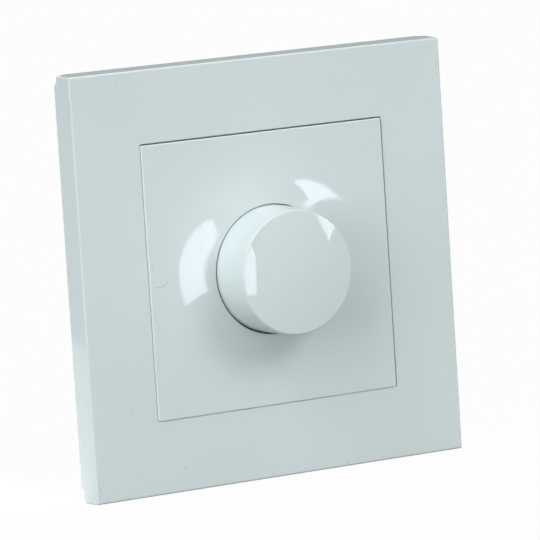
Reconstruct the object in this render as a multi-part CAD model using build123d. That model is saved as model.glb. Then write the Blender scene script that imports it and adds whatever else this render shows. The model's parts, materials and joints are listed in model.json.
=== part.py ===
from build123d import *
import os
from math import atan2, degrees

# Rotary dimmer for a flush wall box, in millimetres.
# X points right, Y into the wall and Z up. The wall's surface is the plane y = 0.

# Cover frame
frame_size = 85.0
frame_height = 6.0
frame_lean = 0.25
frame_panel = 2.0
frame_wall = 1.6
frame_corner = 0.4
frame_edge = 0.35
frame_mouth_edge = 0.2
frame_rib = 1.2
frame_rib_gap = 0.6
frame_rib_places = (-32.0, -22.0, -12.0, 12.0, 22.0, 32.0)
relief_depth = 1.0
relief_upper = 1.2
relief_lower = 2.2
relief_ramp = 1.0
ledge_width = 1.8
ledge_thickness = 1.4
collar_wall = 1.5
screw_notch = 12.0
notch_skin = 0.6

# Centre plate
plate_size = 55.0
plate_thickness = 2.0
plate_gap = 0.13
plate_low_gap = 0.02
plate_left_gap = 0.05
plate_proud = 0.25
plate_corner = 0.4
plate_edge = 0.3
plate_rib = 1.2
plate_rib_gap = 0.4
plate_rib_margin = 2.0
flare_margin = 1.7
flare_rise = 1.1
well_wall = 1.75
well_floor = 1.5
lip_edge = 0.15
peg_radius = 1.1
peg_place = 20.0
peg_gap = 0.15
peg_short = 0.3

# Knob and shaft
knob_radius = 12.5
knob_lean = 0.4
knob_reach = 11.0
knob_crown = 0.75
knob_edge = 0.4
knob_gap = 0.17
knob_wall = 1.6
knob_face = 1.8
knob_floor_gap = 0.4
knob_rib = 1.0
knob_rib_height = 2.4
knob_rib_count = 6
boss_radius = 5.2
boss_slit = 1.0
shaft_radius = 3.0
shaft_flat = 2.2
shaft_run = 0.04
knob_grip = 0.02
shaft_tip_gap = 0.5
push_travel = 1.2
stop_gap = 0.4
clip_thickness = 0.5
clip_width = 2.8
clip_inset = 0.5

# Bush, nut and washer
bush_radius = 5.0
bush_flange = 1.0
bush_gap = 0.2
bush_end = 0.6
thread_gap = 0.05
nut_flats = 14.0
nut_thickness = 2.5
washer_radius = 8.2
washer_thickness = 0.5

# Support plate
support_size = 71.0
support_cut = 9.0
support_thickness = 1.2
raised_size = 51.2
raised_rise = 1.3
raised_corner = 9.2
raised_edge = 0.5
box_screw_spacing = 60.0
slot_length = 7.0
slot_radius = 1.8

# Housing
housing_depth = 24.0
housing_gap = 0.3
housing_wall = 1.6
housing_floor = 1.8
housing_lean = 0.3
housing_edge = 1.5
post_place = 19.0
post_radius = 3.0
vent_width = 1.5
vent_length = 7.0
vent_pitch = 4.0
vent_count = 7
board_rest = 2.0
board_rest_width = 6.0
gauge_length = 9.0
gauge_width = 1.6
gauge_depth = 0.5
gauge_rise = 8.0
screw_radius = 1.25
screw_length = 10.0
screw_head_radius = 2.4
screw_head = 1.0
screw_gap = 0.3
pilot_gap = 0.05

# Potentiometer
pot_radius = 8.5
pot_wall = 0.8
pot_depth = 3.5
wafer_thickness = 1.0
rotor_gap = 0.4
rotor_thickness = 1.2
rotor_run = 0.05
rotor_side_gap = 0.5
wiper_thickness = 0.2
wiper_gap = 0.2
wiper_inner = 4.6
wiper_outer = 6.8
wiper_tip = 1.0

# Push switch
switch_size = 14.0
switch_wall = 1.2
switch_front = 1.0
switch_base_thickness = 0.8
switch_depth = 6.8
shaft_hole_gap = 0.4
stop_radius = 4.2
stop_thickness = 0.75
stop_side_gap = 0.25
plunger_gap = 0.1
plunger_radius = 4.0
plunger_head = 1.0
stem_radius = 3.0
stem_length = 1.4
spring_radius = 1.6
spring_wire = 0.4
spring_turns = 2.5
spring_side_gap = 0.3
bridge_length = 11.0
bridge_width = 7.0
bridge_thickness = 0.3
contact_place = 4.7
contact_radius = 0.7
contact_gap = 0.3

# Circuit board and what it carries
board_thickness = 1.6
board_gap = 0.3
choke_place = (-13.6, 13.6)
choke_inner = 4.4
choke_outer = 6.8
choke_wire = 0.8
choke_height = 6.6
choke_turns = 16
choke_gap = 0.05
suppressor_place = (12.5, 12.2)
suppressor_size = (6.0, 9.5, 15.6)
timer_place = (-13.4, -14.6)
timer_size = (5.0, 8.0, 10.0)
capacitor_edge = 0.4
resistor_places = ((-20.2, 0.0), (-17.0, 0.0), (-13.8, -2.0))
resistor_radius = 1.2
resistor_length = 6.5
lead_radius = 0.3
lead_span = 10.0
lead_bend = 0.6
triac_side_gap = 0.3
triac_width = 10.0
triac_body = 9.0
triac_body_depth = 4.4
triac_body_top = -0.5
triac_tab = 6.6
triac_tab_thickness = 1.3
triac_lead_pitch = 2.54
triac_lead = 0.8
triac_lead_reach = 2.0
triac_lead_depth = 2.2
pad_thickness = 0.2
rivet_radius = 1.5
rivet_gap = 0.1
rivet_head_radius = 2.4
rivet_head = 0.8
rivet_drop = 3.4
fuse_place = (19.4, 2.0)
fuse_depth = 3.6
fuse_length = 20.0
fuse_radius = 2.6
fuse_cap_length = 5.0
fuse_cap_wall = 0.25
fuse_glass = 0.4
fuse_clip_wall = 0.3
fuse_clip_width = 3.6

# Terminals
terminal_places = (-12.0, 0.0, 12.0)
terminal_width = 7.0
terminal_height = 8.6
terminal_rear_gap = 1.8
terminal_wall_gap = 0.3
terminal_screw_radius = 1.6
terminal_head_radius = 2.5
terminal_head = 2.0
terminal_head_gap = 0.5
terminal_well_gap = 0.3
wire_radius = 1.7
wire_reach = 6.4
wire_entry_radius = 2.0
wire_entry_flare = 0.8

# Depths that follow from the sizes above, all along Y
frame_front = -frame_height
panel_rear = frame_front + frame_panel
plate_front = frame_front - plate_proud
plate_rear = plate_front + plate_thickness
ledge_rear = plate_rear + ledge_thickness
flange_front = -support_thickness
raised_front = -support_thickness - raised_rise
raised_rear = -raised_rise
floor_front = raised_front - well_floor
lip_front = plate_front - flare_rise
washer_front = floor_front - washer_thickness
nut_front = washer_front - nut_thickness
bush_front = nut_front - bush_end
bush_rear = raised_rear + bush_flange
knob_rim = frame_front - knob_reach
knob_front = knob_rim - knob_crown
knob_rear = floor_front - push_travel - knob_floor_gap
knob_inner_front = knob_rim + knob_face
boss_rear = bush_front - push_travel - stop_gap
shaft_front = knob_inner_front + shaft_tip_gap
rotor_front = bush_rear + rotor_gap
rotor_rear = rotor_front + rotor_thickness
pot_rear = bush_rear + pot_depth
wafer_front = pot_rear - wafer_thickness
switch_inner_front = pot_rear + switch_front
board_front = pot_rear + switch_depth
board_rear = board_front + board_thickness
base_front = board_front - switch_base_thickness
shaft_rear = switch_inner_front + stop_side_gap + stop_thickness
plunger_front = shaft_rear + plunger_gap
head_rear = plunger_front + plunger_head
stem_rear = head_rear + stem_length
housing_inner_rear = housing_depth - housing_floor
terminal_depth = housing_inner_rear - terminal_rear_gap - board_rear
wire_depth = terminal_depth / 2

# Sizes across that follow from the sizes above
opening_size = plate_size + 2 * plate_gap
plate_drop = plate_gap - plate_low_gap
frame_shift = plate_gap - plate_left_gap
flare_radius = plate_size / 2 - flare_margin
seat_size = opening_size - 2 * ledge_width
collar_size = opening_size + 2 * collar_wall
cavity_size = raised_size - 2 * support_thickness
cavity_corner = raised_corner - support_thickness
housing_size = cavity_size - 2 * housing_gap
housing_corner = cavity_corner - housing_gap
room_size = housing_size - 2 * housing_wall
room_corner = housing_corner - housing_wall
knob_base_radius = knob_radius + knob_lean
hole_radius = knob_base_radius + knob_gap
knob_inner_radius = knob_radius - knob_wall
crown_radius = (knob_radius**2 + knob_crown**2) / (2 * knob_crown)
terminal_low = -room_size / 2 + terminal_wall_gap
triac_place = pot_radius + triac_side_gap + triac_width / 2
rivet_height = triac_body_top - triac_body - rivet_drop
post_places = ((post_place, post_place), (-post_place, -post_place))


def front_prism(profile, rear, front):
    """A front-view profile extruded from depth rear forward to depth front."""
    return extrude(Plane.XZ.offset(-rear) * profile, rear - front)


def ring(inner, outer, rear, front):
    return front_prism(Circle(outer) - Circle(inner), rear, front)


def rod(x, y, z, radius, length):
    """A round bar of this length that rises along Z from its lower end."""
    return Pos(x, y, z) * extrude(Plane.XY * Circle(radius), length)


def d_profile(gap):
    """The shaft's section with its flat, grown by gap all round."""
    grown = shaft_radius + gap
    waste = Pos(0, shaft_flat + gap + grown) * Rectangle(4 * grown, 2 * grown)
    return Circle(grown) - waste


def four_ways():
    return [Rot(0, turn, 0) for turn in (0, 90, 180, 270)]


# Cover frame: a drafted shell with a ledge for the plate, ribs and relieved rear corners.
# It sits a little to the right in its play.
def cover_frame():
    rim = RectangleRounded(frame_size, frame_size, frame_corner)
    draft = degrees(atan2(frame_lean, frame_height))
    body = extrude(Plane.XZ * rim, frame_height, taper=draft)
    body = fillet(body.faces().sort_by(Axis.Y)[0].edges(), frame_edge)
    inside = frame_size - 2 * frame_wall
    body -= front_prism(Rectangle(inside, inside), 0, panel_rear)
    body += front_prism(Rectangle(collar_size, collar_size), ledge_rear, panel_rear)
    for way in four_ways():
        for place in frame_rib_places:
            body += way * frame_stiffener(place, inside)
    body -= front_prism(RectangleRounded(opening_size, opening_size, plate_corner), plate_rear, frame_front)
    body -= front_prism(Rectangle(seat_size, seat_size), ledge_rear, plate_rear)
    for way in four_ways():
        body -= way * box_screw_notch()
    mouth = body.faces().sort_by(Axis.Y)[0].inner_wires()[0]
    body = fillet(mouth.edges(), frame_mouth_edge)
    for side in (-1, 1):
        body -= rear_relief(side, 1, relief_upper)
        body -= rear_relief(side, -1, relief_lower)
    return Pos(frame_shift, 0, 0) * body


def frame_stiffener(place, inside):
    """One rib behind the panel, between the opening's collar and the side wall."""
    reach = (inside - collar_size) / 2
    middle = (inside + collar_size) / 4
    rib = Pos(middle, place) * Rectangle(reach, frame_rib)
    return front_prism(rib, flange_front - frame_rib_gap, panel_rear)


def box_screw_notch():
    """Room in the collar and ledge for the head of a box screw."""
    depth = (collar_size - seat_size) / 2
    middle = (collar_size + seat_size) / 4
    return front_prism(Pos(middle, 0) * Rectangle(depth, screw_notch), ledge_rear, plate_rear + notch_skin)


def rear_relief(side_x, side_z, length):
    """A ramped cut that lifts the rear rim off the wall at one corner."""
    half = frame_size / 2
    wide = 2 * (length + relief_ramp)
    patch = Pos(side_x * half, side_z * half) * Rectangle(wide, wide)
    return extrude(Plane.XZ * patch, relief_depth, taper=degrees(atan2(relief_ramp, relief_depth)))


# Centre plate: a square panel that flares up to the knob, with a well, ribs and pegs.
# It hangs a little low in its play.
def centre_plate():
    panel = RectangleRounded(plate_size, plate_size, plate_corner)
    body = front_prism(panel, plate_rear, plate_front)
    body = fillet(body.faces().sort_by(Axis.Y)[0].edges(), plate_edge)
    body += flare()
    body += front_prism(Circle(hole_radius + well_wall), raised_front, plate_rear)
    for way in four_ways():
        body += way * plate_stiffener()
    body -= front_prism(Circle(hole_radius), floor_front, lip_front)
    body -= front_prism(Circle(bush_radius + bush_gap), raised_front, floor_front)
    lip = body.edges().filter_by(GeomType.CIRCLE).sort_by(Axis.Y)[0]
    body = fillet(lip, lip_edge)
    for side in (-1, 1):
        peg = Pos(side * peg_place, 0) * Circle(peg_radius)
        body += front_prism(peg, raised_rear - peg_short, plate_rear)
    return Pos(0, 0, -plate_drop) * body


def flare():
    """One arc from the flat of the panel up to the lip round the knob, on the panel's full depth."""
    edge, lip = (flare_radius, plate_front), (hole_radius, lip_front)
    slope = TangentArc(edge, lip, tangent=(-1, 0))
    rest = Polyline(lip, (0, lip_front), (0, plate_rear), (flare_radius, plate_rear), edge)
    return revolve(make_face([slope, rest]), Axis.Y)


def plate_stiffener():
    """One rib behind the panel, from the well out to near the edge."""
    start = hole_radius + well_wall / 2
    end = seat_size / 2 - plate_rib_margin
    rib = Pos((start + end) / 2, 0) * Rectangle(end - start, plate_rib)
    return front_prism(rib, raised_front - plate_rib_gap, plate_rear)


# Knob: a drafted cap with a crowned face, a slit boss and ribs
def knob():
    base = Plane.XZ.offset(-knob_rear) * Circle(knob_base_radius)
    draft = degrees(atan2(knob_lean, knob_rear - knob_rim))
    body = extrude(base, knob_rear - knob_front, taper=draft)
    body &= Pos(0, knob_front + crown_radius, 0) * Sphere(crown_radius)
    body = fillet(body.faces().filter_by(GeomType.SPHERE).edges(), knob_edge)
    body -= front_prism(Circle(knob_inner_radius), knob_rear, knob_inner_front)
    for index in range(knob_rib_count):
        body += Rot(0, 360 * index / knob_rib_count, 0) * knob_stiffener()
    body += front_prism(Circle(boss_radius), boss_rear, knob_inner_front)
    body -= front_prism(d_profile(knob_grip), boss_rear, shaft_front)
    slit = Rectangle(2 * boss_radius, boss_slit)
    body -= front_prism(slit, boss_rear, boss_rear - clip_width - 2 * clip_inset)
    return body


def knob_stiffener():
    """One rib inside the cap, from the boss to the wall."""
    start = boss_radius - knob_wall
    end = knob_inner_radius + knob_wall / 2
    rib = Pos((start + end) / 2, 0) * Rectangle(end - start, knob_rib)
    return front_prism(rib, knob_inner_front + knob_rib_height, knob_inner_front)


def knob_clip():
    rear = boss_rear - clip_inset
    body = ring(boss_radius, boss_radius + clip_thickness, rear, rear - clip_width)
    split = Pos(boss_radius, 0) * Rectangle(4 * clip_thickness, boss_slit)
    return body - front_prism(split, rear, rear - clip_width)


def control_shaft():
    rear_flat = rotor_front - push_travel - stop_gap
    body = front_prism(Circle(shaft_radius), rear_flat, boss_rear)
    body += front_prism(d_profile(0), boss_rear, shaft_front)
    body += front_prism(d_profile(0), shaft_rear, rear_flat)
    return body + front_prism(Circle(stop_radius), shaft_rear, shaft_rear - stop_thickness)


def threaded_bush():
    body = front_prism(Circle(bush_radius), raised_rear, bush_front)
    body += front_prism(Circle(pot_radius), bush_rear, raised_rear)
    return body - front_prism(Circle(shaft_radius + shaft_run), bush_rear, bush_front)


def fixing_nut():
    hexagon = RegularPolygon(nut_flats / 2, 6, major_radius=False)
    body = front_prism(hexagon, washer_front, nut_front)
    return body - front_prism(Circle(bush_radius + thread_gap), washer_front, nut_front)


def nut_washer():
    return ring(bush_radius + bush_gap, washer_radius, floor_front, washer_front)


# Support plate: pressed steel with a raised middle, screw slots and holes
def support_plate():
    outline = chamfer(Rectangle(support_size, support_size).vertices(), support_cut)
    body = front_prism(outline, 0, flange_front)
    raised = RectangleRounded(raised_size, raised_size, raised_corner)
    body += front_prism(raised, flange_front, raised_front)
    body = fillet(body.faces().sort_by(Axis.Y)[0].edges(), raised_edge)
    cavity = RectangleRounded(cavity_size, cavity_size, cavity_corner)
    body -= front_prism(cavity, 0, raised_rear)
    for way in four_ways():
        slot = Pos(box_screw_spacing / 2, 0) * SlotOverall(slot_length, 2 * slot_radius)
        body -= way * front_prism(slot, 0, flange_front)
    holes = [Circle(bush_radius + bush_gap)]
    holes += [Pos(side * peg_place, 0) * Circle(peg_radius + peg_gap) for side in (-1, 1)]
    holes += [Pos(*place) * Circle(screw_radius + screw_gap) for place in post_places]
    holes += [Pos(triac_place, rivet_height) * Circle(rivet_radius + rivet_gap)]
    for hole in holes:
        body -= front_prism(hole, raised_rear, raised_front)
    return body


# Housing: a drafted cup with posts, board rests, vents, wire entries, screw wells
# and a groove that shows how far a wire is stripped
def housing():
    back = Plane(origin=(0, raised_rear, 0), x_dir=(-1, 0, 0), z_dir=(0, 1, 0))
    depth = housing_depth - raised_rear
    shell = RectangleRounded(housing_size, housing_size, housing_corner)
    body = extrude(back * shell, depth, taper=degrees(atan2(housing_lean, depth)))
    body = fillet(body.faces().sort_by(Axis.Y)[-1].edges(), housing_edge)
    room = RectangleRounded(room_size, room_size, room_corner)
    body -= front_prism(room, housing_inner_rear, raised_rear)
    for place in post_places:
        body += front_prism(Pos(*place) * Circle(post_radius), housing_inner_rear, raised_rear)
    for place in post_places:
        pilot = Pos(*place) * Circle(screw_radius + pilot_gap)
        body -= front_prism(pilot, raised_rear + screw_length, raised_rear)
    for way in four_ways()[:3]:
        rest = Pos(-(room_size - board_rest) / 2, 0) * Rectangle(board_rest, board_rest_width)
        body += way * front_prism(rest, housing_inner_rear, board_rear)
    for index in range(vent_count):
        body -= housing_vent(vent_pitch * (index - (vent_count - 1) / 2))
    for place in terminal_places:
        well = Pos(place, terminal_screw_height()) * Circle(terminal_head_radius + terminal_well_gap)
        body -= front_prism(well, housing_depth, housing_inner_rear)
        body -= wire_entry(place)
    gauge = Pos(0, terminal_screw_height() + gauge_rise) * SlotOverall(gauge_length, gauge_width)
    return body - front_prism(gauge, housing_depth, housing_depth - gauge_depth)


def wire_entry(place):
    """A round hole through the lower wall, flared at its mouth."""
    depth = board_rear + wire_depth
    low = -housing_size / 2
    hole = rod(place, depth, low, wire_entry_radius, housing_wall)
    mouth = Plane((place, depth, low)) * Circle(wire_entry_radius + wire_entry_flare)
    return hole + extrude(mouth, wire_entry_flare, taper=45)


def housing_vent(place):
    """One upright slot through the upper wall."""
    slot = Plane.XY.offset(room_size / 2) * Pos(place, (board_rear + housing_inner_rear) / 2)
    return extrude(slot * Rot(0, 0, 90) * SlotOverall(vent_length, vent_width), housing_wall)


def housing_screws():
    return Compound(children=[housing_screw(*place) for place in post_places])


def housing_screw(x, z):
    head = front_prism(Pos(x, z) * Circle(screw_head_radius), raised_front, raised_front - screw_head)
    return head + front_prism(Pos(x, z) * Circle(screw_radius), screw_length + raised_front, raised_front)


# Potentiometer
def potentiometer_case():
    return ring(pot_radius - pot_wall, pot_radius, pot_rear, bush_rear)


def potentiometer_rotor():
    disc = Circle(pot_radius - pot_wall - rotor_side_gap) - d_profile(rotor_run)
    return front_prism(disc, rotor_rear, rotor_front)


def wiper():
    band = Circle(wiper_outer) - Circle(wiper_inner)
    half = Pos(0, -wiper_outer / 2) * Rectangle(2 * wiper_outer, wiper_outer)
    plate_back = rotor_rear + wiper_thickness
    body = front_prism(band & half, plate_back, rotor_rear)
    tip = Pos(0, -(wiper_inner + wiper_outer) / 2) * Rectangle(wiper_tip, wiper_tip)
    return body + front_prism(tip, wafer_front - wiper_gap, plate_back)


def resistance_wafer():
    return ring(shaft_radius + shaft_hole_gap, pot_radius - pot_wall, pot_rear, wafer_front)


# Push switch
def switch_case():
    body = front_prism(Rectangle(switch_size, switch_size), base_front, pot_rear)
    inside = switch_size - 2 * switch_wall
    body -= front_prism(Rectangle(inside, inside), base_front, switch_inner_front)
    return body - front_prism(Circle(shaft_radius + shaft_hole_gap), switch_inner_front, pot_rear)


def switch_base():
    return front_prism(Rectangle(switch_size, switch_size), board_front, base_front)


def switch_plunger():
    body = front_prism(Circle(plunger_radius), head_rear, plunger_front)
    body += front_prism(Circle(stem_radius), stem_rear, head_rear)
    bore = spring_radius + spring_wire / 2 + spring_side_gap
    return body - front_prism(Circle(bore), stem_rear, head_rear)


def return_spring():
    start = head_rear + spring_wire / 2
    height = base_front - spring_wire / 2 - start
    path = Helix(height / spring_turns, height, spring_radius, center=(0, start, 0), direction=(0, 1, 0))
    section = Plane(path @ 0, z_dir=path % 0) * Circle(spring_wire / 2)
    return sweep(section, path=path, is_frenet=True)


def contact_bridge():
    strip = Rectangle(bridge_length, bridge_width) - Circle(stem_radius)
    return front_prism(strip, head_rear + bridge_thickness, head_rear)


def fixed_contacts():
    front = head_rear + bridge_thickness + push_travel + contact_gap
    pads = [Pos(side * contact_place, 0) * Circle(contact_radius) for side in (-1, 1)]
    return Compound(children=[front_prism(pad, base_front, front) for pad in pads])


# Circuit board and its components
def circuit_board():
    size = room_size - 2 * board_gap
    outline = RectangleRounded(size, size, room_corner)
    for place in post_places:
        outline -= Pos(*place) * Circle(post_radius + board_gap)
    return front_prism(outline, board_rear, board_front)


def choke_core():
    rear = board_front - choke_wire
    return Pos(choke_place[0], 0, choke_place[1]) * ring(choke_inner, choke_outer, rear, rear - choke_height)


def choke_winding():
    rear = board_front - choke_wire
    middle = rear - choke_height / 2
    radius = (choke_inner + choke_outer) / 2
    wide = choke_outer - choke_inner + 2 * choke_gap
    window = Rectangle(wide, choke_height)
    loop = Rectangle(wide + 2 * choke_wire, choke_height + 2 * choke_wire) - window
    loop = Pos(radius, middle) * loop
    turn = extrude(loop, choke_wire / 2, both=True)
    at = Pos(choke_place[0], 0, choke_place[1])
    return Compound(children=[at * Rot(0, 360 * i / choke_turns, 0) * turn for i in range(choke_turns)])


def box_capacitor(place, size):
    body = front_prism(Pos(*place) * Rectangle(size[0], size[2]), board_front, board_front - size[1])
    return fillet(body.faces().sort_by(Axis.Y)[0].edges(), capacitor_edge)


def resistors():
    return Compound(children=[resistor(*place) for place in resistor_places])


def resistor(x, z):
    """A round body above the board, with leads bent down to it."""
    depth = board_front - resistor_radius
    low, high = z - lead_span / 2, z + lead_span / 2
    corners = ((x, board_front, low), (x, depth, low), (x, depth, high), (x, board_front, high))
    lead = FilletPolyline(*corners, radius=lead_bend)
    body = sweep(Plane.XZ.offset(-board_front) * Pos(x, low) * Circle(lead_radius), path=lead)
    return body + rod(x, depth, z - resistor_length / 2, resistor_radius, resistor_length)


def triac():
    back = raised_rear + pad_thickness
    low = triac_body_top - triac_body
    body_profile = Pos(triac_place, triac_body_top - triac_body / 2) * Rectangle(triac_width, triac_body)
    body = front_prism(body_profile, back + triac_body_depth, back)
    tab = Pos(triac_place, low - triac_tab / 2) * Rectangle(triac_width, triac_tab)
    tab -= Pos(triac_place, rivet_height) * Circle(rivet_radius + rivet_gap)
    body += front_prism(tab, back + triac_tab_thickness, back)
    for index in (-1, 0, 1):
        body += triac_leg(triac_place + index * triac_lead_pitch, back + triac_lead_depth)
    return body


def triac_leg(x, depth):
    """A flat lead that leaves the body and bends back to the board."""
    top = triac_body_top + triac_lead_reach
    out = Pos(x, triac_body_top + triac_lead_reach / 2) * Rectangle(triac_lead, triac_lead_reach)
    body = front_prism(out, depth + triac_lead, depth)
    down = Pos(x, top - triac_lead / 2) * Rectangle(triac_lead, triac_lead)
    return body + front_prism(down, board_front, depth)


def triac_pad():
    high = triac_body + triac_tab
    pad = Pos(triac_place, triac_body_top - high / 2) * Rectangle(triac_width, high)
    pad -= Pos(triac_place, rivet_height) * Circle(rivet_radius + rivet_gap)
    return front_prism(pad, raised_rear + pad_thickness, raised_rear)


def triac_rivet():
    at = Pos(triac_place, rivet_height)
    rear = raised_rear + pad_thickness + triac_tab_thickness
    body = front_prism(at * Circle(rivet_radius), rear, raised_front)
    body += front_prism(at * Circle(rivet_head_radius), raised_front, raised_front - rivet_head)
    return body + front_prism(at * Circle(rivet_head_radius), rear + rivet_head, rear)


def fuse_tube():
    outer = fuse_radius - fuse_cap_wall
    long = fuse_length - 2 * fuse_cap_wall
    x, y, z = fuse_centre()
    body = rod(x, y, z - long / 2, outer, long)
    return body - rod(x, y, z - long / 2, outer - fuse_glass, long)


def fuse_centre():
    return fuse_place[0], board_front - fuse_depth, fuse_place[1]


def fuse_caps():
    x, y, z = fuse_centre()
    lower = rod(x, y, z - fuse_length / 2, fuse_radius, fuse_cap_length)
    lower -= rod(x, y, z - fuse_length / 2 + fuse_cap_wall, fuse_radius - fuse_cap_wall, fuse_cap_length)
    upper = mirror(lower, about=Plane.XY.offset(z))
    return Compound(children=[lower, upper])


def fuse_clips():
    x, y, z = fuse_centre()
    wide = 2 * (fuse_radius + fuse_clip_wall)
    place = (fuse_length - fuse_cap_length) / 2
    clips = []
    for side in (-1, 1):
        low = z + side * place - fuse_clip_width / 2
        block = front_prism(
            Pos(x, low + fuse_clip_width / 2) * Rectangle(wide, fuse_clip_width), board_front, y
        )
        clips.append(block - rod(x, y, low, fuse_radius, fuse_clip_width))
    return Compound(children=clips)


# Terminals
def terminal_screw_height():
    return terminal_low + wire_reach - wire_radius


def terminal_blocks():
    return Compound(children=[terminal_block(x) for x in terminal_places])


def terminal_block(x):
    """A brass block with a wire bore from below and a screw hole from behind."""
    profile = Pos(x, terminal_low + terminal_height / 2) * Rectangle(terminal_width, terminal_height)
    body = front_prism(profile, board_rear + terminal_depth, board_rear)
    body -= rod(x, board_rear + wire_depth, terminal_low, wire_radius, wire_reach)
    thread = Pos(x, terminal_screw_height()) * Circle(terminal_screw_radius + thread_gap)
    return body - front_prism(thread, board_rear + terminal_depth, board_rear + wire_depth)


def terminal_screws():
    return Compound(children=[terminal_screw(x) for x in terminal_places])


def terminal_screw(x):
    at = Pos(x, terminal_screw_height())
    under = board_rear + terminal_depth + terminal_head_gap
    body = front_prism(at * Circle(terminal_head_radius), under + terminal_head, under)
    return body + front_prism(at * Circle(terminal_screw_radius), under, board_rear + wire_depth + wire_radius)


nodes = {
    "cover_frame": cover_frame(),
    "centre_plate": centre_plate(),
    "knob": knob(),
    "knob_clip": knob_clip(),
    "control_shaft": control_shaft(),
    "fixing_nut": fixing_nut(),
    "nut_washer": nut_washer(),
    "support_plate": support_plate(),
    "threaded_bush": threaded_bush(),
    "potentiometer_case": potentiometer_case(),
    "potentiometer_rotor": potentiometer_rotor(),
    "wiper": wiper(),
    "resistance_wafer": resistance_wafer(),
    "switch_case": switch_case(),
    "switch_base": switch_base(),
    "switch_plunger": switch_plunger(),
    "return_spring": return_spring(),
    "contact_bridge": contact_bridge(),
    "fixed_contacts": fixed_contacts(),
    "housing": housing(),
    "housing_screws": housing_screws(),
    "circuit_board": circuit_board(),
    "choke_core": choke_core(),
    "choke_winding": choke_winding(),
    "suppression_capacitor": box_capacitor(suppressor_place, suppressor_size),
    "timing_capacitor": box_capacitor(timer_place, timer_size),
    "resistors": resistors(),
    "triac": triac(),
    "triac_pad": triac_pad(),
    "triac_rivet": triac_rivet(),
    "fuse_tube": fuse_tube(),
    "fuse_caps": fuse_caps(),
    "fuse_clips": fuse_clips(),
    "terminal_blocks": terminal_blocks(),
    "terminal_screws": terminal_screws(),
}

os.makedirs("parts", exist_ok=True)
for name, shape in nodes.items():
    export_step(shape, f"parts/{name}.step")
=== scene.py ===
"""Finishes, small pieces and studio for a flush rotary dimmer: an add-on that is run as a script."""
import json
from math import cos, degrees, pi, radians, sin, tau
from typing import NamedTuple

import bpy
from bpy.props import FloatProperty, FloatVectorProperty, IntProperty, PointerProperty
from mathutils import Matrix, Quaternion, Vector

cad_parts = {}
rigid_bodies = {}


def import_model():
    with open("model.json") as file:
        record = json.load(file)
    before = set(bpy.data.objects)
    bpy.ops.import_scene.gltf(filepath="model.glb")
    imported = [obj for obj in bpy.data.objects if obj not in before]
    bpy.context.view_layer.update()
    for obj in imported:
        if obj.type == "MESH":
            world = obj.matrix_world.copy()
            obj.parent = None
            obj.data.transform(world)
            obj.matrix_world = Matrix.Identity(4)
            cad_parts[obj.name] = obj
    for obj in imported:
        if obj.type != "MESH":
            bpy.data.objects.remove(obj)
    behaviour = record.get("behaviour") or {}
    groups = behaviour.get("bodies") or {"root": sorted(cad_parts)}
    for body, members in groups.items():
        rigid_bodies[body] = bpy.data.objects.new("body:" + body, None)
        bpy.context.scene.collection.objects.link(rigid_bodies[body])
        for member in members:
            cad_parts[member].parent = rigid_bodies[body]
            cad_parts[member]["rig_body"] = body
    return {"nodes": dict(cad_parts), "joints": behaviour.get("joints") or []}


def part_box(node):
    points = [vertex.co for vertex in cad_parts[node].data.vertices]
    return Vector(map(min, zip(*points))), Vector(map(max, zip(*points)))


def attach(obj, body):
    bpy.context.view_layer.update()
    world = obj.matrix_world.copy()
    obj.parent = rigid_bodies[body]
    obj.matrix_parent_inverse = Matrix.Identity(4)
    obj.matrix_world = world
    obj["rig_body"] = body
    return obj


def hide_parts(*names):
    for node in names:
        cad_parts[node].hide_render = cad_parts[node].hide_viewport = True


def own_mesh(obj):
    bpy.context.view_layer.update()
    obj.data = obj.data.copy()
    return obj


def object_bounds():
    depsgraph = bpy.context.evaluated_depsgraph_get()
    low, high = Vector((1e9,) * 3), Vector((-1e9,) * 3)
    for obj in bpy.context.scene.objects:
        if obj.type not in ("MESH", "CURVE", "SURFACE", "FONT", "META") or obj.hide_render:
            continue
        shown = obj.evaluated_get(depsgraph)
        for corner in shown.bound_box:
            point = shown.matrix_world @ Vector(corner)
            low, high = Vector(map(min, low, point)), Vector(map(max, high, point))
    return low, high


bl_info = {
    "name": "Rotary dimmer",
    "version": (1, 0, 0),
    "blender": (4, 5, 0),
    "location": "View3D > Sidebar > Dimmer",
    "description": "Finishes, small pieces and studio for a flush rotary dimmer",
    "category": "Object",
}

MM = 0.001

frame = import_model()
cad_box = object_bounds()

# How far the plate's flat stands in front of the frame
PLATE_PROUD = 0.25 * MM

# Small marks on the cover, as (x, z) in millimetres on the front
PLATE_HAIR = ((-26.2, -0.8), (-25.0, -1.0), (-24.0, -0.55), (-23.2, 0.45))
PLATE_SPECKS = ((-22.1, 4.7), (-26.7, 2.7), (-25.8, -1.5), (-16.0, 15.2), (-16.7, 18.6), (4.0, 27.1))
FRAME_SCRATCH = ((-42.3, -38.0), (-41.4, -39.0), (-41.5, -41.3))
FRAME_SMUDGE = ((19.0, -41.4), (19.2, -40.6), (20.0, -40.2), (20.7, -40.5))
FRAME_SPECKS = ((-22.0, -37.55), (-22.05, -37.5), (15.1, -41.6), (-33.3, -24.6), (-31.8, 39.9))

# The share of dirt's colour that each kind of mark shows, and the roughness that full dirt adds
HAIR_DIRT = 0.42
SCRATCH_DIRT = 0.2
SMUDGE_DIRT = 0.15
SPECK_DIRT = 0.5
DUST_DIRT = 0.3
DIRT_ROUGHNESS = 0.3

# Sizes in the cover's finish; the plate grows dull between the two reaches from the knob's axis
FLOW_SIZE = 34 * MM
SMEAR_SIZE = 12 * MM
DUST_GAP = 5.5 * MM
DUST_RADIUS = 0.1 * MM
RING_SIZE = 0.2 * MM
RING_DEPTH = 0.0018 * MM
DULL_FROM, DULL_TO = 16 * MM, 13.5 * MM
PLASTIC_IOR = 1.5

# Where in the noise a second tone or a smear begins, and where it is full
TONE_RANGE = (0.35, 0.65)
SMEAR_RANGE = (0.4, 0.75)

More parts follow.
